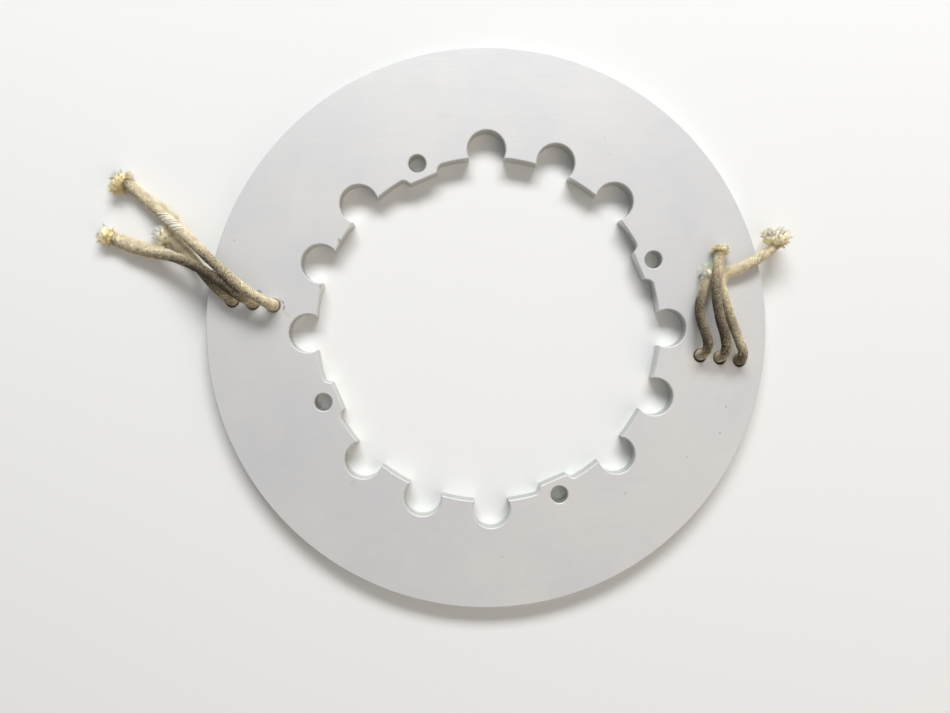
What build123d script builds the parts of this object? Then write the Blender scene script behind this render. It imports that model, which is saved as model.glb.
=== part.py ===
"""Spinner bulkhead: a flat aluminium ring with a notched bore and six short braided leads.

Millimetres and degrees. The plate lies on its back face: the origin is the centre of that
face, +Z points out of the front face, +X to the right and +Y to the top of the front view.
"""

import os
from math import hypot, pi, radians, tan

from build123d import *

os.makedirs("parts", exist_ok=True)

# Plate
OUTER_DIAMETER = 209.55
PLATE_THICKNESS = 6.35
EDGE_BREAK = 0.35

# Stations: sixteen around one bolt circle, every fourth one a bolt hole, the others notches
STATION_COUNT = 16
BOLT_COUNT = 4
FIRST_BOLT_ANGLE = 22.5
BOLT_CIRCLE_DIAMETER = 134.6
BOLT_HOLE_DIAMETER = 6.53
NOTCH_DIAMETER = 14.29

# Bore wall and the pads that carry the bolt holes, both measured inward from the bolt circle
BORE_SETBACK = 2.95
PAD_HEIGHT = 2.95
PAD_FACE_WIDTH = 10.6
PAD_FLANK_ANGLE = 56
PAD_FILLET = 2.4

# Leads: two rows of three on one diameter of the plate, each lead in its own hole
LEAD_DIAMETER = 3.5
LEAD_HOLE_CLEARANCE = 0.75
LEAD_ROW_COUNT = 2
LEAD_ROW_ANGLE = -7.5
LEAD_PITCH = 7.6
LEAD_ROW_INSET = 1.6
LEADS_PER_ROW = 3

# Share of the shorter run that each bend of a lead takes up, and what counts as the same place
BEND_SHARE = 0.45
SAME_PLACE = 0.001

# Routes of the leads' centrelines, from the back of the plate through the hole to the cut end
LEAD_ROUTES = {
    "lead_left_long": [
        (-79.6, 10.1, 0.3), (-79.9, 10.7, 8.4), (-81.4, 11.6, 12.9), (-85.6, 14.4, 15.1),
        (-91.9, 19.3, 14.8), (-100.4, 26.9, 12.8), (-109.0, 35.0, 9.0), (-117.8, 43.0, 4.6),
        (-126.6, 50.8, 2.3), (-134.9, 57.4, 2.0),
    ],
    "lead_left_middle": [
        (-87.1, 11.1, 0.3), (-87.5, 11.7, 7.4), (-89.1, 12.9, 11.2), (-92.8, 15.5, 13.1),
        (-98.8, 20.4, 13.3), (-106.6, 25.3, 11.7), (-116.0, 29.1, 7.3), (-125.2, 31.2, 3.6),
        (-133.6, 33.8, 2.2), (-139.5, 36.4, 2.0),
    ],
    "lead_left_short": [
        (-94.6, 12.2, 0.3), (-94.9, 12.7, 7.2), (-97.0, 14.9, 10.6), (-101.1, 18.8, 10.1),
        (-105.4, 23.4, 7.2), (-110.0, 28.8, 4.0), (-114.4, 33.1, 2.8), (-118.6, 36.6, 2.3),
    ],
    "lead_right_short": [
        (79.6, -10.8, 0.3), (79.9, -10.2, 8.9), (80.7, -7.3, 12.7), (80.1, -2.9, 12.7),
        (78.6, 2.6, 10.4), (78.4, 8.4, 8.9), (81.0, 14.4, 8.3), (82.4, 20.2, 8.3),
    ],
    "lead_right_middle": [
        (87.2, -11.7, 0.3), (87.4, -11.0, 8.9), (87.4, -8.1, 12.8), (86.8, -3.4, 13.1),
        (85.1, 3.4, 12.4), (83.9, 10.4, 12.1), (83.9, 16.6, 12.1), (84.8, 22.8, 11.1),
        (86.1, 27.7, 9.3),
    ],
    "lead_right_long": [
        (94.9, -12.8, 0.3), (94.6, -12.2, 8.8), (93.8, -9.5, 12.4), (92.5, -5.3, 12.6),
        (90.9, 0.6, 10.3), (89.6, 6.2, 8.7), (87.9, 12.2, 8.3), (86.8, 16.4, 8.3),
        (87.6, 19.0, 8.3), (89.7, 20.7, 8.4), (93.0, 21.6, 8.7), (97.9, 23.8, 9.3),
        (103.4, 27.1, 9.1), (108.3, 31.0, 7.2),
    ],
}

# Places worked out from the sizes above
station_angles = [360 / STATION_COUNT * station for station in range(STATION_COUNT)]
bolt_step_angle = 360 / BOLT_COUNT
bolt_circle_radius = BOLT_CIRCLE_DIAMETER / 2
bore_radius = bolt_circle_radius - BORE_SETBACK
pad_face_radius = bore_radius - PAD_HEIGHT
notch_crown_radius = bolt_circle_radius + NOTCH_DIAMETER / 2
lead_hole_radius = LEAD_DIAMETER / 2 + LEAD_HOLE_CLEARANCE
middle_lead_radius = (notch_crown_radius + OUTER_DIAMETER / 2) / 2 - LEAD_ROW_INSET
innermost_lead_radius = middle_lead_radius - LEAD_PITCH * (LEADS_PER_ROW - 1) / 2
lead_radii = [innermost_lead_radius + LEAD_PITCH * step for step in range(LEADS_PER_ROW)]


def is_pad_foot(vertex):
    """True where a pad's flank meets the bore wall, and not at the bore circle's own seam."""
    on_bore_wall = abs(hypot(vertex.X, vertex.Y) - bore_radius) < SAME_PLACE
    return on_bore_wall and abs(vertex.Y) > SAME_PLACE


def is_notch(angle):
    """True for the stations between the bolt holes."""
    return (angle - FIRST_BOLT_ANGLE) % bolt_step_angle != 0


# Opening in the middle: the bore, less the four pads, plus the notches
pad_reach = 2 * PAD_HEIGHT
pad_spread = pad_reach / tan(radians(PAD_FLANK_ANGLE))
pad_outline = [
    (0, -PAD_FACE_WIDTH / 2),
    (0, PAD_FACE_WIDTH / 2),
    (pad_reach, PAD_FACE_WIDTH / 2 + pad_spread),
    (pad_reach, -PAD_FACE_WIDTH / 2 - pad_spread),
]
with BuildSketch() as opening:
    Circle(bore_radius)
    with PolarLocations(pad_face_radius, BOLT_COUNT, start_angle=FIRST_BOLT_ANGLE):
        Polygon(*pad_outline, align=None, mode=Mode.SUBTRACT)
    fillet(opening.vertices().filter_by(is_pad_foot), radius=min(PAD_FILLET, PAD_HEIGHT))
    for notch_angle in filter(is_notch, station_angles):
        with PolarLocations(bolt_circle_radius, 1, start_angle=notch_angle):
            Circle(NOTCH_DIAMETER / 2)

# Plate
with BuildPart() as plate:
    with BuildSketch():
        Circle(OUTER_DIAMETER / 2)
        add(opening.sketch, mode=Mode.SUBTRACT)
    extrude(amount=PLATE_THICKNESS)
    with PolarLocations(bolt_circle_radius, BOLT_COUNT, start_angle=FIRST_BOLT_ANGLE):
        Hole(BOLT_HOLE_DIAMETER / 2)
    for lead_radius in lead_radii:
        with PolarLocations(lead_radius, LEAD_ROW_COUNT, start_angle=LEAD_ROW_ANGLE):
            Hole(lead_hole_radius)
    flat_faces = plate.faces().filter_by(Plane.XY).sort_by(Axis.Z)
    chamfer(flat_faces[0].edges() + flat_faces[-1].edges(), length=EDGE_BREAK)

plate.part.label = "bulkhead_plate"
export_step(plate.part, "parts/bulkhead_plate.step")


def bend_radii(route):
    """Radius of each bend on a route: as large as its two runs allow."""
    points = [Vector(*point) for point in route]
    runs = [end - start for start, end in zip(points, points[1:])]
    return [
        BEND_SHARE * min(run.length, next_run.length) / tan(radians(run.get_angle(next_run) / 2))
        for run, next_run in zip(runs, runs[1:])
    ]


# Leads: a round tube along each route
for name, route in LEAD_ROUTES.items():
    radii = bend_radii(route)
    with BuildPart() as lead:
        with BuildLine() as centreline:
            FilletPolyline(*route, radius=radii)
        with BuildSketch(Plane(origin=centreline.line @ 0, z_dir=centreline.line % 0)):
            Circle(LEAD_DIAMETER / 2)
        sweep()
    lead.part.label = name
    export_step(lead.part, f"parts/{name}.step")
    length = centreline.wire().length
    section_times_length = pi * (LEAD_DIAMETER / 2) ** 2 * length
    print(name, "length", round(length, 1), "bend radii", [round(radius, 1) for radius in radii])
    print(name, "volume", round(lead.part.volume, 2), "section x length", round(section_times_length, 2))
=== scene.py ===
"""Spinner bulkhead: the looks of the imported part, lying on a pale floor and seen from above.

Metres and degrees, in the part's own frame: the origin is the centre of the plate's back face,
+Z points out of the front face, +X to the right and +Y to the top of the picture.
"""

import random
from math import cos, floor, pi, radians, sin

import bpy
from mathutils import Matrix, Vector, noise


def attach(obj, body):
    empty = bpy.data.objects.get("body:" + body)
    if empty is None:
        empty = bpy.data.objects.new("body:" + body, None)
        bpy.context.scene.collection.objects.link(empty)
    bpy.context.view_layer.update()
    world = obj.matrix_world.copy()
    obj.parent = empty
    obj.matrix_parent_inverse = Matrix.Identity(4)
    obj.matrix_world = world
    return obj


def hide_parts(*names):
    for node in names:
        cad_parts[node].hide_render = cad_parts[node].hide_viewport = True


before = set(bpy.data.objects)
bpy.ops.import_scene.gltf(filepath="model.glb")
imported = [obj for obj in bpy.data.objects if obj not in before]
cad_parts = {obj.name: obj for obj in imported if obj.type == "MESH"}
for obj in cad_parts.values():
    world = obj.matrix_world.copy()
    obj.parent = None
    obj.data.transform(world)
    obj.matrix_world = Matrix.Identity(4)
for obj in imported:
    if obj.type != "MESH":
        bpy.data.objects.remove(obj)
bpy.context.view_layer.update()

MM = 0.001

# Camera: place, turn about X, Y and Z, and focal length as the picture was taken
CAMERA_PLACE = (-0.013583, -0.00072, 0.28285)
CAMERA_TURN = (-1.8, -1.729, -0.812)
FOCAL_PIXELS = 740
PICTURE_WIDTH_PIXELS = 950
SENSOR_WIDTH = 36

# Leads: size, and routes from the back of the plate through the hole to the cut end
LEAD_DIAMETER = 3.5 * MM
LEAD_ROUTES = {
    "lead_left_long": [
        (-79.6, 10.1, 0.3), (-79.9, 10.7, 8.4), (-81.4, 11.6, 12.9), (-85.6, 14.4, 15.1),
        (-91.9, 19.3, 14.8), (-100.4, 26.9, 12.8), (-109.0, 35.0, 9.0), (-117.8, 43.0, 4.6),
        (-126.6, 50.8, 2.3), (-134.9, 57.4, 2.0),
    ],
    "lead_left_middle": [
        (-87.1, 11.1, 0.3), (-87.5, 11.7, 7.4), (-89.1, 12.9, 11.2), (-92.8, 15.5, 13.1),
        (-98.8, 20.4, 13.3), (-106.6, 25.3, 11.7), (-116.0, 29.1, 7.3), (-125.2, 31.2, 3.6),
        (-133.6, 33.8, 2.2), (-139.5, 36.4, 2.0),
    ],
    "lead_left_short": [
        (-94.6, 12.2, 0.3), (-94.9, 12.7, 7.2), (-97.0, 14.9, 10.6), (-101.1, 18.8, 10.1),
        (-105.4, 23.4, 7.2), (-110.0, 28.8, 4.0), (-114.4, 33.1, 2.8), (-118.6, 36.6, 2.3),
    ],
    "lead_right_short": [
        (79.6, -10.8, 0.3), (79.9, -10.2, 8.9), (80.7, -7.3, 12.7), (80.1, -2.9, 12.7),
        (78.6, 2.6, 10.4), (78.4, 8.4, 8.9), (81.0, 14.4, 8.3), (82.4, 20.2, 8.3),
    ],
    "lead_right_middle": [
        (87.2, -11.7, 0.3), (87.4, -11.0, 8.9), (87.4, -8.1, 12.8), (86.8, -3.4, 13.1),
        (85.1, 3.4, 12.4), (83.9, 10.4, 12.1), (83.9, 16.6, 12.1), (84.8, 22.8, 11.1),
        (86.1, 27.7, 9.3),
    ],
    "lead_right_long": [
        (94.9, -12.8, 0.3), (94.6, -12.2, 8.8), (93.8, -9.5, 12.4), (92.5, -5.3, 12.6),
        (90.9, 0.6, 10.3), (89.6, 6.2, 8.7), (87.9, 12.2, 8.3), (86.8, 16.4, 8.3),
        (87.6, 19.0, 8.3), (89.7, 20.7, 8.4), (93.0, 21.6, 8.7), (97.9, 23.8, 9.3),
        (103.4, 27.1, 9.1), (108.3, 31.0, 7.2),
    ],
}

# Braid of the leads
BRAID_CARRIERS = 12
BRAID_PITCH = 0.72 * MM
BRAID_RELIEF = 0.3 * MM
BRAID_AROUND = 48
BRAID_STEP = 0.125 * MM
BRAID_STRAND_FLATNESS = 0.7
BRAID_LEVEL = 0.7
FLOAT_CELLS = 4
ROUTE_RESOLUTION = 24
WANDER = 0.12 * MM
WANDER_PERIOD = 2.2 * MM

# How dark the braid is, from 0 clean to 1 dark, and a little past either to outweigh the painted light
# and shade on its sides: in the middle of each tenth of the lead, then at its cut end. The values hold
# both stains and painted shade: the dark middle of the middle left lead is partly painted shade where
# it lies under the longest left lead, and the values below 0 on the shortest left lead paint light on
# it where it lies in shade
LEAD_STAINS_AND_SHADE = {
    "lead_left_long": [0.16, 0.28, 0.38, 0.62, 0.66, 0.24, 0.06, 0.05, 0.01, 0.22, 0.75],
    "lead_left_middle": [0.24, 0.36, 1.05, 1.05, 0.98, 0.68, 0.41, 0.28, 0.17, 0.08, 0.6],
    "lead_left_short": [-0.25, 0.35, 0.48, 0.66, 0.62, 0.84, 0.0, -0.25, -0.25, -0.25, 0],
    "lead_right_short": [0.85, 0.05, 0.3, 0.97, 0.89, 0.94, 0.86, 0.75, 0.48, 0.02, 0.15],
    "lead_right_middle": [-0.15, 0.1, 0.55, 0.98, 0.95, 0.84, 0.77, 0.65, 0.37, 0.26, 0.8],
    "lead_right_long": [0.1, 0.7, 0.35, 0.68, 0.42, 0.18, -0.12, 0.03, 0.17, 0.22, 0.35],
}

# The side of the leads that is painted as lit, and how much lighter than the middle the braid is painted
# there, and as much darker on the opposite side: painted light and shade
LIT_SIDE = Vector((0.64, 0.77, 0)).normalized()
SIDE_PAINTED_SHADE = 0.28

# Where the braid is loose and thicker: share of the length, and millimetres on its radius
LEAD_SWELLS = {
    "lead_left_long": [(0, 0.5), (0.09, 0.5), (0.14, 0), (0.5, 0.1), (0.72, 0.7), (0.85, 0.45), (1, 0.4)],
    "lead_left_middle": [(0, 0.3), (0.1, 0.3), (0.14, 0), (0.6, 0.1), (0.8, 0.7), (0.9, 1), (1, 0.3)],
    "lead_left_short": [(0, 0.3), (0.16, 0.3), (0.22, 0), (0.6, 0.05), (1, 0.3)],
    "lead_right_short": [(0, 0.2), (0.16, 0.2), (0.22, 0), (1, 0)],
    "lead_right_middle": [(0, 0.2), (0.14, 0.2), (0.18, 0), (0.7, 0), (1, 0.2)],
    "lead_right_long": [(0, 0.2), (0.1, 0.2), (0.14, 0), (0.6, 0), (0.7, 0.15), (1, 0.2)],
}

# Frayed ends. Axis: the way the cap faces, or None for along the lead. Cap: distance past the cut
# end and radius, in millimetres. Yarns: how many stand on the cap, their shortest and longest
# length, and how far they lean forward. White: the side on which the cap is whitest. Pale: how
# white the cap's middle is. Shift: how far the cap sits from the end. Lumps: their height in
# millimetres, where it isn't the usual one.
FRAYED_ENDS = {
    "lead_left_long": {
        "axis": None,
        "shift": (-0.6, -1.0, 0),
        "cap": [(-0.6, 2.0), (-0.6, 3.1), (0.4, 3.8), (1.6, 3.6), (2.7, 2.5), (3.1, 0)],
        "yarns": (96, 1.3, 3.0, 0.5),
        "white": (-0.6, 0.8, 0),
        "pale": 0.55,
    },
    "lead_left_middle": {
        "axis": None,
        "cap": [
            (-0.3, 1.9), (0.9, 2.0), (1.4, 1.6), (1.6, 2.5), (2.5, 3.0), (3.8, 2.7), (4.6, 1.5), (4.8, 0),
        ],
        "yarns": (64, 0.9, 2.2, 0.3),
        "white": (-0.7, 0.7, 0),
        "pale": 0.45,
    },
    "lead_left_short": {
        "axis": (-1, 0.45, 0.05),
        "cap": [(-0.6, 1.8), (0.1, 2.4), (1.6, 2.9), (3.4, 2.7), (4.8, 1.5), (5.0, 0)],
        "yarns": (84, 1.6, 3.6, 0.4),
        "white": (-1, 0.4, 0),
        "pale": 0.85,
    },
    "lead_right_short": {
        "axis": (-0.25, 1, 0),
        "cap": [(-1.6, 1.6), (-1.0, 2.0), (0.2, 2.2), (1.2, 1.7), (1.8, 0)],
        "yarns": (46, 1.2, 2.6, 0.9),
        "white": (-1, 0.4, 0),
        "pale": 0.85,
    },
    "lead_right_middle": {
        "axis": None,
        "lumps": 0.5,
        "shift": (0.4, 0.3, 0),
        "cap": [(0.0, 1.6), (0.1, 2.3), (0.5, 2.7), (1.1, 2.6), (1.7, 1.8), (1.9, 0)],
        "yarns": (64, 0.8, 1.9, 1.2),
        "white": (0.6, 0.8, 0),
        "pale": 0.4,
    },
    "lead_right_long": {
        "axis": (-0.05, 1, 0.2),
        "cap": [(-0.2, 1.7), (0.3, 3.1), (1.4, 4.2), (3.0, 4.2), (4.4, 3.0), (5.0, 0)],
        "yarns": (84, 1.2, 2.8, 0.7),
        "white": (-0.1, 0.8, 0.6),
        "pale": 0.42,
    },
}
CAP_AROUND = 64
CAP_STEPS_PER_STATION = 5
CAP_LUMPS = 0.7
CAP_LUMP_PERIOD = 1.3 * MM
CAP_LUMP_LEAN = 0.5
CAP_TINT = 0.8
CAP_SHARE = 0.2
CAP_SCATTER = 0.45
CAP_CURL = 0.8
CAP_CURL_BACK = 0.4
WHITE_SIDE = 0.5
FILAMENTS_PER_YARN = 26
FLUFF_PER_END = 500
FLUFF_LENGTH = (0.5, 1.6)
FLUFF_SCATTER = 0.8
FLUFF_TINT_SPREAD = 0.15
YARN_SPREAD = 0.28 * MM
YARN_ROOT = 0.3 * MM
YARN_SCATTER = 0.22
YARN_CURL_SCATTER = 0.35
YARN_LENGTHS = (0.6, 1.05)
YARN_TINT_SPREAD = 0.12
WISP_ROOT = 1.5 * MM
WISP_CURL = 0.7
WISP_TINTS = (0.3, 0.8)
FILAMENT_RADIUS = 0.055 * MM
FILAMENT_SIDES = 3
FILAMENT_STEPS = 5
FILAMENT_TAPER = 0.6
REST_HEIGHT = 0.06 * MM

# Longer wisps on some ends: degrees round the cap, lean forward, and length in millimetres
WISPS = {
    "lead_left_long": [(40, 0.3, 5.0), (100, 0.6, 4.6), (160, 0.5, 4.8)],
    "lead_left_short": [(70, 1.2, 5.0), (180, 1.4, 5.0), (300, 1.0, 4.0)],
    "lead_right_short": [
        (20, 3.0, 4.8), (120, 2.4, 4.0), (250, 2.6, 3.6), (0, 6.0, 5.2), (70, 5.0, 5.0), (180, 5.0, 4.6),
        (300, 4.0, 4.4),
    ],
    "lead_right_long": [(0, 1.2, 7.4), (60, 1.8, 7.4), (120, 1.5, 7.4), (180, 0.1, 6.4), (300, 2.0, 7.0)],
}

# Fuzz along the leads: filaments per millimetre, where it begins, how deep in the braid a filament
# starts as a share of the radius, and the filaments' length and thickness
FUZZ_PER_MM = 16
FUZZ_START = 9 * MM
FUZZ_ROOT = 0.97
FUZZ_LENGTH = (0.35, 1.3)
FUZZ_RADIUS = 0.035 * MM
FUZZ_STEPS = 3
FUZZ_STAND = 0.8
FUZZ_CURL = 0.9
FUZZ_TINTS = (0.1, 0.9)
CREST_SCATTER = 0.5

# Worn stretches with standing filaments: share of the length from and to, the side they stand on,
# how many, and their longest length in millimetres
CRESTS = {
    "lead_left_long": [(0.70, 0.80, (0.6, 0.9, 0.3), 420, 2.4), (0.62, 0.84, (0, 0, 1), 300, 1.3)],
    "lead_left_middle": [(0.74, 0.92, (0.1, -1, 0), 420, 1.6), (0.7, 0.95, (0.3, 1, 0.4), 420, 1.3)],
    "lead_left_short": [(0.84, 1.0, (0, 0.3, 1), 300, 1.4)],
    "lead_right_short": [(0.84, 0.98, (-1, 0.2, 0.5), 220, 1.5)],
    "lead_right_middle": [(0.84, 0.98, (0, 0, 1), 160, 0.9)],
    "lead_right_long": [(0.60, 0.68, (-0.5, 0.8, 0.6), 420, 2.0)],
}

# Worn place on the longest left lead, where white threads lie across the braid
WORN_START, WORN_END = 0.645, 0.765
WORN_THREADS = 9
WORN_THREAD_RADIUS = 0.29 * MM
WORN_THREAD_SIDES = 6
WORN_THREAD_HALF_TURN = 44
WORN_THREAD_TURN_SPREAD = 18
WORN_THREAD_SLANT = 1.8 * MM
WORN_THREAD_POINTS = 10
WORN_THREAD_JITTER = 0.6
WORN_THREAD_LIFT = 0.7
WORN_THREAD_TINTS = (0.85, 1.0)

# Green fleck in the filaments of the shortest right lead: centre and radius
GREEN_FLECK = (82.3 * MM, 23.9 * MM, 9.2 * MM)
GREEN_FLECK_RADIUS = 1.8 * MM

# Marks of use on the plate's face: centre, half size, turn, strength and colour
PLATE_MARKS = [
    ((-93.5, 34.7), (0.30, 0.25), 0, 0.45, (96, 98, 110)),
    ((-15.4, 79.8), (2.6, 0.9), 0, 0.35, (206, 204, 188)),
    ((-84.7, 15.8), (0.9, 0.45), -25, 0.7, (128, 130, 140)),
    ((-76.2, 11.6), (0.25, 0.75), 25, 0.75, (110, 112, 108)),
    ((-75.9, 9.6), (0.25, 0.9), -12, 0.8, (104, 110, 106)),
    ((-75.0, 7.3), (2.1, 0.45), -35, 0.45, (196, 200, 148)),
    ((89.4, -30.0), (0.3, 0.3), 0, 0.6, (120, 118, 120)),
    ((87.1, -39.9), (0.3, 0.35), 0, 0.6, (110, 108, 112)),
    ((74.6, -48.7), (0.25, 0.3), 0, 0.5, (130, 128, 128)),
    ((50.6, -62.2), (0.6, 0.6), 20, 0.3, (150, 150, 152)),
    ((3.9, -85.3), (0.3, 0.3), 0, 0.5, (130, 130, 134)),
    ((25.8, -82.5), (4.0, 0.14), -26, 0.35, (236, 236, 236)),
    ((-55.0, 34.2), (0.5, 0.9), 30, 0.55, (126, 124, 116)),
    ((-62.3, 17.3), (0.5, 0.6), 0, 0.45, (132, 130, 124)),
    ((-77.2, 12.4), (0.22, 1.1), 18, 0.5, (138, 142, 134)),
    ((44.1, 71.3), (0.3, 0.35), -20, 0.35, (150, 150, 152)),
    ((26.7, 79.8), (0.5, 0.25), 0, 0.25, (160, 160, 164)),
    ((46.0, 65.3), (0.7, 0.3), 0, 0.2, (180, 178, 172)),
    ((-51.9, -56.2), (1.5, 0.9), 30, 0.16, (170, 168, 158)),
]

# Plate's finish: on the face, on the cut walls, and the range of upright normals between them
FACE_METALLIC, WALL_METALLIC = 0.35, 0.92
FACE_ROUGHNESS = (0.57, 0.67)
WALL_SMOOTHER = 0.2
WALL_NORMALS = (0.2, 0.6)

# Colours as a screen shows them
FACE_COOL = (212, 212, 215)
FACE_WARM = (221, 220, 217)
FACE_TINT = (222, 219, 216)
FACE_GRAIN = (206, 207, 208)
FLOOR_COLOURS = ((236, 236, 234), (240, 240, 239))
BRAID_CLEAN = (248, 234, 196)
# Dark colour of the braid's stains and of the painted shade on it
BRAID_STAIN_AND_SHADE = (62, 54, 37)
BRAID_BLUSH = (182, 152, 138)
# Painted shade in the gaps between the braid's strands
BRAID_GAP_SHADE = (60, 48, 28)
FILAMENT_YELLOW = (252, 230, 142)
FILAMENT_WHITE = (255, 254, 250)
FLECK_GREEN = (178, 252, 158)
WALL_COLOUR = (208, 210, 204)
SCREEN_GAMMA = 2.2

# Light and floor
FLOOR_SIZE = 6.0
FLOOR_DROP = 0.05 * MM
KEY_PLACE = (0.05, 1.1, 0.85)
KEY_SIZE = (1.1, 0.34)
KEY_POWER = 21.6
KEY_COLOUR = (0.965, 0.985, 1.0)
FILL_PLACE = (0.7, -0.6, 0.7)
FILL_SIZE = (1.4, 1.4)
FILL_POWER = 5.7
FILL_COLOUR = (1.0, 0.85, 0.71)
WORLD_STRENGTH = 0.25
WORLD_COLOUR = (0.96, 0.98, 1.0)


def shown_colour(red, green, blue):
    """A colour as a screen shows it, 0 to 255, on a scale of 0 to 1."""
    return tuple(value / 255 for value in (red, green, blue))


def linear(red, green, blue):
    """A colour as a screen shows it, 0 to 255, as the linear colour that a shader takes."""
    parts = shown_colour(red, green, blue)
    return tuple(part / 12.92 if part <= 0.04045 else ((part + 0.055) / 1.055) ** 2.4 for part in parts)


def add_camera():
    """The camera where the picture was taken from."""
    data = bpy.data.cameras.new("camera")
    data.sensor_width = SENSOR_WIDTH
    data.lens = FOCAL_PIXELS * SENSOR_WIDTH / PICTURE_WIDTH_PIXELS
    camera = bpy.data.objects.new("camera", data)
    camera.location = CAMERA_PLACE
    camera.rotation_euler = [radians(turn) for turn in CAMERA_TURN]
    bpy.context.scene.collection.objects.link(camera)
    bpy.context.scene.camera = camera


add_camera()


# Lines and meshes


def route_line(route):
    """Points on the smooth line of a route: a NURBS spline with the route's points as control points."""
    curve = bpy.data.curves.new("route", "CURVE")
    curve.dimensions = "3D"
    curve.resolution_u = ROUTE_RESOLUTION
    spline = curve.splines.new("NURBS")
    spline.points.add(len(route) - 1)
    for point, place in zip(spline.points, route):
        point.co = (*[value * MM for value in place], 1)
    spline.order_u = 3
    spline.use_endpoint_u = True
    holder = bpy.data.objects.new("route", curve)
    mesh = bpy.data.meshes.new_from_object(holder)
    line = [vertex.co.copy() for vertex in mesh.vertices]
    bpy.data.meshes.remove(mesh)
    bpy.data.objects.remove(holder)
    bpy.data.curves.remove(curve)
    return line


class Line:
    """A smooth line measured by distance along it, with a frame that doesn't twist."""

    def __init__(self, points):
        self.points = points
        self.distances = [0.0]
        for start, end in zip(points, points[1:]):
            self.distances.append(self.distances[-1] + (end - start).length)
        self.length = self.distances[-1]
        tangents = [(end - start).normalized() for start, end in zip(points, points[1:])]
        tangents.append(tangents[-1])
        self.tangents = [tangents[0]] + [
            (before + after).normalized() for before, after in zip(tangents, tangents[1:])
        ]
        side = tangents[0].orthogonal().normalized()
        self.sides = []
        for tangent in self.tangents:
            side = (side - tangent * side.dot(tangent)).normalized()
            self.sides.append(side)

    def at(self, distance):
        """Place, tangent and two sideways directions at a distance along the line."""
        distance = min(max(distance, 0.0), self.length)
        low, high = 0, len(self.distances) - 1
        while high - low > 1:
            middle = (low + high) // 2
            if self.distances[middle] <= distance:
                low = middle
            else:
                high = middle
        share = (distance - self.distances[low]) / (self.distances[high] - self.distances[low])
        place = self.points[low].lerp(self.points[high], share)
        tangent = self.tangents[low].lerp(self.tangents[high], share).normalized()
        side = self.sides[low].lerp(self.sides[high], share)
        side = (side - tangent * side.dot(tangent)).normalized()
        return place, tangent, side, tangent.cross(side)


class Surface:
    """Vertices, faces and per-vertex values of a mesh that is being made."""

    def __init__(self):
        self.vertices = []
        self.faces = []
        self.values = {}

    def add(self, place, **values):
        """Adds a vertex with its values and returns its number."""
        self.vertices.append(place)
        for name, value in values.items():
            self.values.setdefault(name, []).append(value)
        return len(self.vertices) - 1

    def ring(self, places, **values):
        """Adds a ring of vertices and returns their numbers."""
        return [self.add(place, **values) for place in places]

    def join(self, ring, next_ring):
        """Faces between two rings with the same number of vertices."""
        count = len(ring)
        for i in range(count):
            j = (i + 1) % count
            self.faces.append((ring[i], ring[j], next_ring[j], next_ring[i]))

    def object(self, name):
        """The mesh as an object in the scene."""
        mesh = bpy.data.meshes.new(name)
        mesh.from_pydata(self.vertices, [], self.faces)
        for value_name, values in self.values.items():
            attribute = mesh.attributes.new(value_name, "FLOAT", "POINT")
            attribute.data.foreach_set("value", values)
        mesh.polygons.foreach_set("use_smooth", [True] * len(mesh.polygons))
        mesh.update()
        made = bpy.data.objects.new(name, mesh)
        bpy.context.scene.collection.objects.link(made)
        return made


# Leads


def share_between(low, high, value):
    """Where a value lies between two others, held between 0 and 1."""
    return min(max((value - low) / (high - low), 0.0), 1.0)


def value_along(stations, share):
    """The value at a share of the length, between the stations on each side of it."""
    for (start, before), (end, after) in zip(stations, stations[1:]):
        if share <= end:
            return before + (after - before) * share_between(start, end, share)
    return stations[-1][1]


def stain_and_shade_along(name, share):
    """How stained and how darkly shaded a lead's braid is painted at a share of its length."""
    *tenths, at_end = LEAD_STAINS_AND_SHADE[name]
    stations = [((i + 0.5) / len(tenths), stain_and_shade) for i, stain_and_shade in enumerate(tenths)]
    return value_along([*stations, (1, at_end)], share)


def above_floor(point):
    """The point, lifted where it would go through the floor."""
    return Vector((point.x, point.y, max(point.z, REST_HEIGHT)))


def braid_cell(around, along):
    """Height of the braid's surface from 0 in a gap to 1 on a strand, and a tone for the strand."""
    right = around * BRAID_CARRIERS + along / BRAID_PITCH
    left = around * BRAID_CARRIERS - along / BRAID_PITCH
    right_on_top = (floor(right) + floor(left)) % FLOAT_CELLS < FLOAT_CELLS / 2
    across = right if right_on_top else left
    place_along = floor(right) - floor(left)
    place_around = floor(right) % BRAID_CARRIERS
    tone = noise.cell(Vector((place_along + 0.5, place_around + 0.5, 0.5)))
    return sin(pi * (across - floor(across))) ** BRAID_STRAND_FLATNESS, tone


def braided_lead(name, line):
    """A lead as a braided sleeve along its line, with the braid's relief in its surface."""
    surface = Surface()
    rings = round(line.length / BRAID_STEP)
    before = None
    for i in range(rings + 1):
        along = line.length * i / rings
        place, _, side, other = line.at(along)
        stain_and_shade = stain_and_shade_along(name, i / rings)
        swell = value_along(LEAD_SWELLS[name], i / rings) * MM
        ring = []
        for k in range(BRAID_AROUND):
            around = k / BRAID_AROUND
            height, tone = braid_cell(around, along)
            out = side * cos(2 * pi * around) + other * sin(2 * pi * around)
            wander = WANDER * noise.noise((place + out * LEAD_DIAMETER / 2) / WANDER_PERIOD)
            radius = LEAD_DIAMETER / 2 + swell + (height - BRAID_LEVEL) * BRAID_RELIEF + wander
            # Painted light on the side of the braid that faces the lit side and painted shade on the
            # opposite side, added to the stains and painted shade along the lead
            values = {"strand": height, "tone": tone, "stain_and_shade": stain_and_shade - SIDE_PAINTED_SHADE * out.dot(LIT_SIDE)}
            ring.append(surface.add(above_floor(place + out * radius), **values))
        if before is None:
            surface.faces.append(tuple(reversed(ring)))
        else:
            surface.join(before, ring)
        before = ring
    surface.faces.append(tuple(before))
    return surface.object(name + "_braid")


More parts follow.
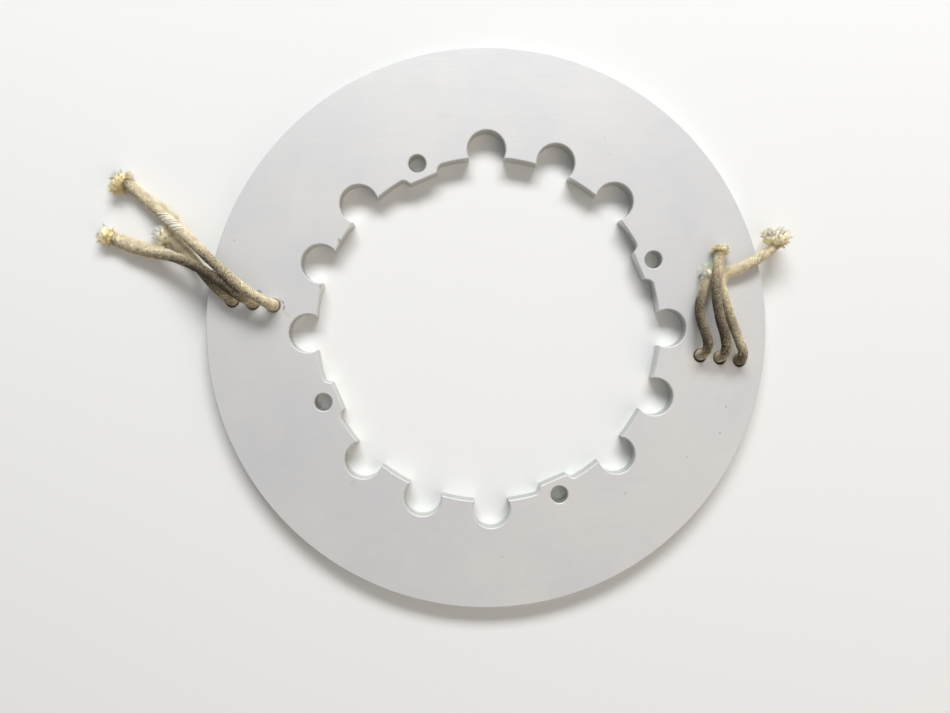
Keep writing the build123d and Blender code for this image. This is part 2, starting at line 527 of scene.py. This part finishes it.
def add_filament(surface, points, radius, sides, tint):
    """A thin filament along a few points, tapered towards its tip. Tint is 0 yellow to 1 white."""
    before = None
    for i, point in enumerate(points):
        ahead = points[min(i + 1, len(points) - 1)] - points[max(i - 1, 0)]
        side = ahead.orthogonal().normalized()
        other = ahead.normalized().cross(side)
        share = i / (len(points) - 1)
        thickness = radius * (1 - FILAMENT_TAPER * share)
        places = []
        for k in range(sides):
            angle = 2 * pi * k / sides
            places.append(point + (side * cos(angle) + other * sin(angle)) * thickness)
        ring = surface.ring(places, tint=tint, share=share)
        if before is not None:
            surface.join(before, ring)
        before = ring


def random_direction(draw):
    """A direction with no preference."""
    return Vector((draw.gauss(0, 1), draw.gauss(0, 1), draw.gauss(0, 1))).normalized()


def curling_points(start, heading, curl, length, steps):
    """Points of a filament that sets out in one direction and curls in another."""
    points = [above_floor(start)]
    for i in range(steps):
        direction = (heading + curl * (i / steps)).normalized()
        points.append(above_floor(points[-1] + direction * length / steps))
    return points


def cap_point(stations, share):
    """Distance past the cut end and radius on a cap's profile, smoothly between its stations."""
    reach = share * (len(stations) - 1)
    number = min(int(reach), len(stations) - 2)
    before = stations[max(number - 1, 0)]
    start, end = stations[number], stations[number + 1]
    after = stations[min(number + 2, len(stations) - 1)]
    t = reach - number
    values = []
    for a, b, c, d in zip(before, start, end, after):
        values.append(b + 0.5 * t * (c - a + t * (2 * a - 5 * b + 4 * c - d + t * (3 * (b - c) + d - a))))
    return values[0] * MM, max(values[1], 0.02) * MM


def add_yarn(surface, draw, start, heading, curl, length, tint):
    """A bundle of filaments that stay near one another."""
    for _ in range(FILAMENTS_PER_YARN):
        points = curling_points(
            start + random_direction(draw) * YARN_SPREAD * draw.random(),
            (heading + random_direction(draw) * YARN_SCATTER).normalized(),
            curl + random_direction(draw) * YARN_CURL_SCATTER,
            length * draw.uniform(*YARN_LENGTHS),
            FILAMENT_STEPS,
        )
        filament_tint = min(max(tint + draw.gauss(0, YARN_TINT_SPREAD), 0), 1)
        add_filament(surface, points, FILAMENT_RADIUS, FILAMENT_SIDES, filament_tint)


def frayed_end(name, line, draw):
    """The frayed cut end of a lead: a cap of matted filaments with loose yarns standing on it."""
    facts = FRAYED_ENDS[name]
    count, shortest, longest, lean = facts["yarns"]
    whitest = Vector(facts["white"]).normalized()
    surface = Surface()
    place, tangent, side, _ = line.at(line.length)
    place = place + Vector(facts.get("shift", (0, 0, 0))) * MM
    lumps = facts.get("lumps", CAP_LUMPS) * MM
    axis = Vector(facts["axis"]).normalized() if facts["axis"] else tangent
    side = (side - axis * side.dot(axis)).normalized()
    other = axis.cross(side)
    steps = (len(facts["cap"]) - 1) * CAP_STEPS_PER_STATION
    middle = place + axis * max(forward for forward, _ in facts["cap"]) / 2 * MM
    rows = []
    for i in range(steps + 1):
        forward, radius = cap_point(facts["cap"], i / steps)
        ring = []
        for k in range(CAP_AROUND):
            angle = 2 * pi * k / CAP_AROUND
            out = side * cos(angle) + other * sin(angle)
            point = place + axis * forward + out * radius
            lump = noise.noise(point / CAP_LUMP_PERIOD) * lumps * min(radius / MM, 1)
            point = above_floor(point + out * lump + axis * lump * CAP_LUMP_LEAN)
            white = facts["pale"] + WHITE_SIDE * (point - middle).normalized().dot(whitest)
            ring.append(surface.add(point, tint=white * CAP_TINT, share=CAP_SHARE * i / steps))
        if rows:
            surface.join(rows[-1], ring)
        rows.append(ring)
    surface.faces.append(tuple(rows[-1]))
    surface.faces.append(tuple(reversed(rows[0])))
    for _ in range(count):
        row = min(int(draw.random() ** 1.1 * steps), steps - 1)
        start = surface.vertices[draw.choice(rows[row])]
        away = (start - middle).normalized()
        heading = (away + axis * lean + random_direction(draw) * CAP_SCATTER).normalized()
        curl = random_direction(draw) * CAP_CURL - axis * CAP_CURL_BACK
        white = facts["pale"] + WHITE_SIDE * away.dot(whitest) + draw.gauss(0, YARN_TINT_SPREAD)
        length = draw.uniform(shortest, longest) * MM
        add_yarn(surface, draw, start - away * YARN_ROOT, heading, curl, length, white)
    for _ in range(FLUFF_PER_END):
        start = surface.vertices[draw.choice(draw.choice(rows))]
        away = (start - middle).normalized()
        heading = (away + random_direction(draw) * FLUFF_SCATTER).normalized()
        length = draw.uniform(*FLUFF_LENGTH) * MM
        points = curling_points(start, heading, random_direction(draw), length, FILAMENT_STEPS)
        white = facts["pale"] + WHITE_SIDE * away.dot(whitest) + draw.gauss(0, FLUFF_TINT_SPREAD)
        add_filament(surface, points, FILAMENT_RADIUS, FILAMENT_SIDES, min(max(white, 0), 1))
    for degrees, wisp_lean, length in WISPS.get(name, []):
        out = side * cos(radians(degrees)) + other * sin(radians(degrees))
        heading = (out + axis * wisp_lean).normalized()
        curl = random_direction(draw) * WISP_CURL
        tint = draw.uniform(*WISP_TINTS)
        add_yarn(surface, draw, place + out * WISP_ROOT, heading, curl, length * MM, tint)
    return surface.object(name + "_frayed_end")


def add_fuzz(surface, line, name, draw, share, out, longest):
    """One short filament that stands on the braid."""
    place, tangent, _, _ = line.at(line.length * share)
    out = (out - tangent * out.dot(tangent)).normalized()
    radius = LEAD_DIAMETER / 2 + value_along(LEAD_SWELLS[name], share) * MM
    points = curling_points(
        place + out * radius * FUZZ_ROOT,
        (tangent * draw.uniform(-1, 1) + out * FUZZ_STAND).normalized(),
        random_direction(draw) * FUZZ_CURL,
        draw.uniform(FUZZ_LENGTH[0], longest) * MM,
        FUZZ_STEPS,
    )
    # Fuzz is painted darker where the braid holds stains and painted shade
    tint = draw.uniform(*FUZZ_TINTS) * (1 - stain_and_shade_along(name, share))
    add_filament(surface, points, FUZZ_RADIUS, FILAMENT_SIDES, tint)


def lead_fuzz(name, line, draw):
    """Loose filaments that stand out of the braid, more of them where it is worn."""
    surface = Surface()
    lowest = share_between(0, line.length, FUZZ_START)
    for _ in range(round(line.length / MM * FUZZ_PER_MM)):
        share = draw.uniform(lowest, 1)
        if draw.random() > stain_and_shade_along(name, share):
            add_fuzz(surface, line, name, draw, share, random_direction(draw), FUZZ_LENGTH[1])
    for start, end, side, count, longest in CRESTS[name]:
        for _ in range(count):
            share = start + (end - start) * (0.5 + 0.5 * sin(draw.uniform(-pi / 2, pi / 2)))
            out = Vector(side).normalized() + random_direction(draw) * CREST_SCATTER
            add_fuzz(surface, line, name, draw, share, out, longest)
    return surface.object(name + "_fuzz")


def worn_threads(name, line, draw):
    """White threads that lie across the top of the braid at a worn place."""
    surface = Surface()
    up = Vector((0, 0, 1))
    for i in range(WORN_THREADS):
        number = i + draw.uniform(0, WORN_THREAD_JITTER)
        share = WORN_START + (WORN_END - WORN_START) * number / WORN_THREADS
        along = line.length * share
        turn_spread = draw.uniform(-WORN_THREAD_TURN_SPREAD, WORN_THREAD_TURN_SPREAD)
        half_turn = radians(WORN_THREAD_HALF_TURN + turn_spread)
        lift = LEAD_DIAMETER / 2 + value_along(LEAD_SWELLS[name], share) * MM
        lift += WORN_THREAD_RADIUS * draw.uniform(0.0, WORN_THREAD_LIFT)
        points = []
        for k in range(WORN_THREAD_POINTS):
            sweep = 2 * k / (WORN_THREAD_POINTS - 1) - 1
            place, tangent, _, _ = line.at(along + WORN_THREAD_SLANT * sweep)
            top = (up - tangent * up.dot(tangent)).normalized()
            angle = half_turn * sweep
            points.append(place + (top * cos(angle) + top.cross(tangent) * sin(angle)) * lift)
        tint = draw.uniform(*WORN_THREAD_TINTS)
        add_filament(surface, points, WORN_THREAD_RADIUS, WORN_THREAD_SIDES, tint)
    return surface.object(name + "_worn_threads")


# Materials


class Nodes:
    """A material that is being made, with short calls for its nodes."""

    def __init__(self, name):
        self.material = bpy.data.materials.new(name)
        self.material.use_nodes = True
        self.tree = self.material.node_tree
        self.shader = self.tree.nodes["Principled BSDF"]

    def add(self, kind, **settings):
        """Adds a node and sets its properties."""
        node = self.tree.nodes.new(kind)
        for name, value in settings.items():
            setattr(node, name, value)
        return node

    def feed(self, socket, value):
        """Links an output to a socket, or sets the socket to a plain value."""
        if isinstance(value, bpy.types.NodeSocket):
            self.tree.links.new(value, socket)
        else:
            socket.default_value = value

    def math(self, operation, *values, clamp=False):
        """The output of a math node."""
        node = self.add("ShaderNodeMath", operation=operation, use_clamp=clamp)
        for socket, value in zip(node.inputs, values):
            self.feed(socket, value)
        return node.outputs[0]

    def mix(self, factor, first, second):
        """A mix of two colours."""
        node = self.add("ShaderNodeMix", data_type="RGBA")
        for socket, value in zip((node.inputs[0], node.inputs[6], node.inputs[7]), (factor, first, second)):
            self.feed(socket, value)
        return node.outputs[2]

    def place(self, scale=(1, 1, 1), turn=0):
        """The place on the object in metres, turned about Z and scaled."""
        node = self.add("ShaderNodeMapping")
        node.inputs["Rotation"].default_value = (0, 0, radians(turn))
        node.inputs["Scale"].default_value = scale
        self.feed(node.inputs["Vector"], self.add("ShaderNodeTexCoord").outputs["Object"])
        return node.outputs["Vector"]

    def noise(self, vector, scale, detail=2.0, roughness=0.5):
        """A noise value, 0 to 1."""
        node = self.add("ShaderNodeTexNoise")
        self.feed(node.inputs["Vector"], vector)
        node.inputs["Scale"].default_value = scale
        node.inputs["Detail"].default_value = detail
        node.inputs["Roughness"].default_value = roughness
        return node.outputs["Fac"]

    def between(self, value, low, high, to_low=0.0, to_high=1.0):
        """A value moved from one range to another, and held in it."""
        node = self.add("ShaderNodeMapRange", clamp=True)
        for socket, number in zip(node.inputs, (value, low, high, to_low, to_high)):
            self.feed(socket, number)
        return node.outputs[0]

    def attribute(self, name):
        """A value kept at the mesh's vertices."""
        return self.add("ShaderNodeAttribute", attribute_name=name).outputs["Fac"]

    def bump(self, height, strength, distance):
        """A normal from a height."""
        node = self.add("ShaderNodeBump")
        node.inputs["Strength"].default_value = strength
        node.inputs["Distance"].default_value = distance
        self.feed(node.inputs["Height"], height)
        return node.outputs["Normal"]

    def spot(self, centre, size, turn=0, soft=0.5):
        """1 inside an oval mark on the face and 0 outside it."""
        offset = self.add("ShaderNodeVectorMath", operation="SUBTRACT")
        self.feed(offset.inputs[0], self.place())
        offset.inputs[1].default_value = (*centre, 0)
        turned = self.add("ShaderNodeVectorRotate", rotation_type="Z_AXIS")
        self.feed(turned.inputs["Vector"], offset.outputs[0])
        turned.inputs["Angle"].default_value = radians(-turn)
        scaled = self.add("ShaderNodeVectorMath", operation="MULTIPLY")
        self.feed(scaled.inputs[0], turned.outputs[0])
        scaled.inputs[1].default_value = (1 / size[0], 1 / size[1], 0)
        length = self.add("ShaderNodeVectorMath", operation="LENGTH")
        self.feed(length.inputs[0], scaled.outputs[0])
        return self.between(length.outputs["Value"], 1 - soft, 1 + soft, 1.0, 0.0)


def plate_material():
    """Satin aluminium with a faint straight grain, smoother cut walls and the marks of use."""
    made = Nodes("satin_aluminium")
    grain = made.noise(made.place((60, 1500, 60)), 1.0, 4.0, 0.6)
    cloud = made.noise(made.place(), 38, 4.0, 0.6)
    tint = made.noise(made.place(), 90, 3.0)
    colour = made.mix(
        made.between(cloud, 0.3, 0.7),
        (*linear(*FACE_COOL), 1),
        (*linear(*FACE_WARM), 1),
    )
    colour = made.mix(made.between(tint, 0.4, 0.7, 0.0, 0.35), colour, (*linear(*FACE_TINT), 1))
    colour = made.mix(made.between(grain, 0.35, 0.65, 0.0, 0.14), colour, (*linear(*FACE_GRAIN), 1))
    for centre, size, turn, strength, tone in PLATE_MARKS:
        mask = made.spot([value * MM for value in centre], [value * MM for value in size], turn)
        colour = made.mix(made.math("MULTIPLY", mask, strength), colour, (*linear(*tone), 1))
    normal = made.add("ShaderNodeNewGeometry").outputs["Normal"]
    split = made.add("ShaderNodeSeparateXYZ")
    made.feed(split.inputs[0], normal)
    wall = made.between(made.math("ABSOLUTE", split.outputs["Z"]), *WALL_NORMALS, 1.0, 0.0)
    colour = made.mix(wall, colour, (*linear(*WALL_COLOUR), 1))
    made.feed(made.shader.inputs["Base Color"], colour)
    metallic = made.between(wall, 0.0, 1.0, FACE_METALLIC, WALL_METALLIC)
    made.feed(made.shader.inputs["Metallic"], metallic)
    rough = made.between(grain, 0.3, 0.7, *FACE_ROUGHNESS)
    smoother = made.math("MULTIPLY", wall, WALL_SMOOTHER)
    made.feed(made.shader.inputs["Roughness"], made.math("SUBTRACT", rough, smoother))
    made.feed(made.shader.inputs["Normal"], made.bump(grain, 0.12, 0.01 * MM))
    return made.material


def braid_material():
    """Woven sleeve: pale tan, with stains and painted shade along its length, painted light and shade on
    its two sides, and painted shade between its strands.
    """
    made = Nodes("glass_braid")
    patches = made.between(made.noise(made.place(), 520, 3.0), 0.3, 0.7, -0.07, 0.07)
    strands = made.between(made.attribute("tone"), 0.0, 1.0, -0.15, 0.15)
    specks = made.between(made.noise(made.place(), 1700, 2.0), 0.32, 0.68, -0.12, 0.12)
    stain_and_shade = made.math("ADD", made.attribute("stain_and_shade"), patches)
    stain_and_shade = made.math("ADD", stain_and_shade, strands)
    stain_and_shade = made.math("ADD", stain_and_shade, specks, clamp=True)
    # Stains and painted shade both darken the braid towards one dark colour
    shown = made.mix(stain_and_shade, (*shown_colour(*BRAID_CLEAN), 1), (*shown_colour(*BRAID_STAIN_AND_SHADE), 1))
    gamma = made.add("ShaderNodeGamma")
    made.feed(gamma.inputs["Color"], shown)
    gamma.inputs["Gamma"].default_value = SCREEN_GAMMA
    tone = gamma.outputs["Color"]
    blush = made.between(made.noise(made.place(), 330, 2.0), 0.42, 0.62, 0.0, 0.45)
    blush = made.math("MULTIPLY", blush, made.between(stain_and_shade, 0.2, 0.9, 1.0, 0.15))
    tone = made.mix(blush, tone, (*linear(*BRAID_BLUSH), 1))
    # Painted shade in the gaps between the strands, where the braid's surface lies low
    gap = made.between(made.attribute("strand"), 0.2, 0.85, 0.85, 0.0)
    tone = made.mix(gap, tone, (*linear(*BRAID_GAP_SHADE), 1))
    made.feed(made.shader.inputs["Base Color"], tone)
    made.shader.inputs["Roughness"].default_value = 0.82
    made.shader.inputs["Sheen Weight"].default_value = 0.1
    thread = made.noise(made.place(), 3400, 2.0)
    made.feed(made.shader.inputs["Normal"], made.bump(thread, 0.6, 0.08 * MM))
    return made.material


def filament_material():
    """Loose filaments, yellowed near the braid and white at their tips."""
    made = Nodes("glass_filaments")
    white = made.math("MULTIPLY", made.attribute("tint"), 0.9)
    white = made.math("ADD", white, made.math("MULTIPLY", made.attribute("share"), 0.3))
    mottle = made.between(made.noise(made.place(), 900, 3.0), 0.3, 0.7, -0.18, 0.18)
    white = made.math("ADD", white, mottle, clamp=True)
    tone = made.mix(white, (*linear(*FILAMENT_YELLOW), 1), (*linear(*FILAMENT_WHITE), 1))
    offset = made.add("ShaderNodeVectorMath", operation="DISTANCE")
    made.feed(offset.inputs[0], made.place())
    offset.inputs[1].default_value = GREEN_FLECK
    fleck = made.between(offset.outputs["Value"], 0.5 * GREEN_FLECK_RADIUS, GREEN_FLECK_RADIUS, 0.8, 0.0)
    tone = made.mix(fleck, tone, (*linear(*FLECK_GREEN), 1))
    made.feed(made.shader.inputs["Base Color"], tone)
    made.shader.inputs["Roughness"].default_value = 0.75
    made.shader.inputs["Sheen Weight"].default_value = 0.6
    matting = made.noise(made.place(), 4200, 3.0)
    made.feed(made.shader.inputs["Normal"], made.bump(matting, 0.5, 0.1 * MM))
    return made.material


def floor_material():
    """Plain pale floor."""
    made = Nodes("pale_floor")
    soft = made.noise(made.place(), 3.0)
    darker, lighter = FLOOR_COLOURS
    colour = made.mix(soft, (*linear(*darker), 1), (*linear(*lighter), 1))
    made.feed(made.shader.inputs["Base Color"], colour)
    made.shader.inputs["Roughness"].default_value = 0.9
    made.shader.inputs["Specular IOR Level"].default_value = 0.2
    return made.material


def add_leads():
    """The six leads with their frayed ends and fuzz."""
    braid, filaments = braid_material(), filament_material()
    for number, (name, route) in enumerate(LEAD_ROUTES.items()):
        draw = random.Random(number + 1)
        line = Line(route_line(route))
        lead = braided_lead(name, line)
        lead.data.materials.append(braid)
        extras = [frayed_end(name, line, draw), lead_fuzz(name, line, draw)]
        if name == "lead_left_long":
            extras.append(worn_threads(name, line, draw))
        for extra in extras:
            extra.data.materials.append(filaments)
        for piece in (lead, *extras):
            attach(piece, "root")
        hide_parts(name)


add_leads()

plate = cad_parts["bulkhead_plate"]
plate.data.materials.clear()
plate.data.materials.append(plate_material())


# Floor and light


def add_floor():
    """A plain floor under the part."""
    half = FLOOR_SIZE / 2
    corners = [(-half, -half, 0), (half, -half, 0), (half, half, 0), (-half, half, 0)]
    mesh = bpy.data.meshes.new("floor")
    mesh.from_pydata(corners, [], [(0, 1, 2, 3)])
    mesh.materials.append(floor_material())
    made = bpy.data.objects.new("floor", mesh)
    made.location.z = -FLOOR_DROP
    bpy.context.scene.collection.objects.link(made)


def add_area_light(name, place, size, power, colour):
    """A flat lamp that points at the middle of the part."""
    data = bpy.data.lights.new(name, "AREA")
    data.shape = "RECTANGLE"
    data.size, data.size_y = size
    data.energy = power
    data.color = colour
    lamp = bpy.data.objects.new(name, data)
    lamp.location = place
    lamp.rotation_euler = (-Vector(place)).to_track_quat("-Z", "Y").to_euler()
    bpy.context.scene.collection.objects.link(lamp)


def add_world():
    """Soft light from all round."""
    world = bpy.data.worlds.new("studio")
    world.use_nodes = True
    background = world.node_tree.nodes["Background"]
    background.inputs["Color"].default_value = (*WORLD_COLOUR, 1)
    background.inputs["Strength"].default_value = WORLD_STRENGTH
    bpy.context.scene.world = world


add_floor()
add_area_light("key", KEY_PLACE, KEY_SIZE, KEY_POWER, KEY_COLOUR)
add_area_light("fill", FILL_PLACE, FILL_SIZE, FILL_POWER, FILL_COLOUR)
add_world()
bpy.context.scene.view_settings.view_transform = "Standard"
